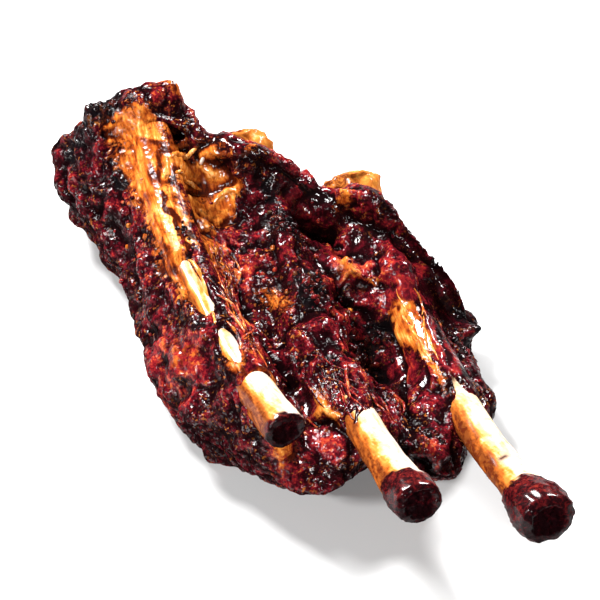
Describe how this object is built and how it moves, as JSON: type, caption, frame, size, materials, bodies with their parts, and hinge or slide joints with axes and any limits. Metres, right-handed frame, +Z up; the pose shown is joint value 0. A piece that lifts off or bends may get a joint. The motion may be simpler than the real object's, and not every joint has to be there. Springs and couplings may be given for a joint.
{
  "type": "rack of ribs",
  "caption": "Cut rack of barbecued ribs: a curved, glazed slab of meat, hollow side up, with long rib bones running through it and standing out bare at one end.",
  "frame": {"origin": "on the table, in the middle of the flat patch that the meat rests on", "axes": "+X across the ribs from the first to the third, +Y along the ribs towards the thick rolled edge, away from their bare tips, +Z up"},
  "size_m": [0.1089, 0.1712, 0.0485],
  "materials": {
    "glazed_meat": "dark red-brown sticky glaze over roasted, partly charred meat",
    "rib_bone": "cream to amber cooked bone, dark and charred at its cut ends"
  },
  "bodies": {
    "root": {"meat": "glazed_meat", "rib_1": "rib_bone", "rib_2": "rib_bone", "rib_3": "rib_bone"}
  },
  "joints": []
}
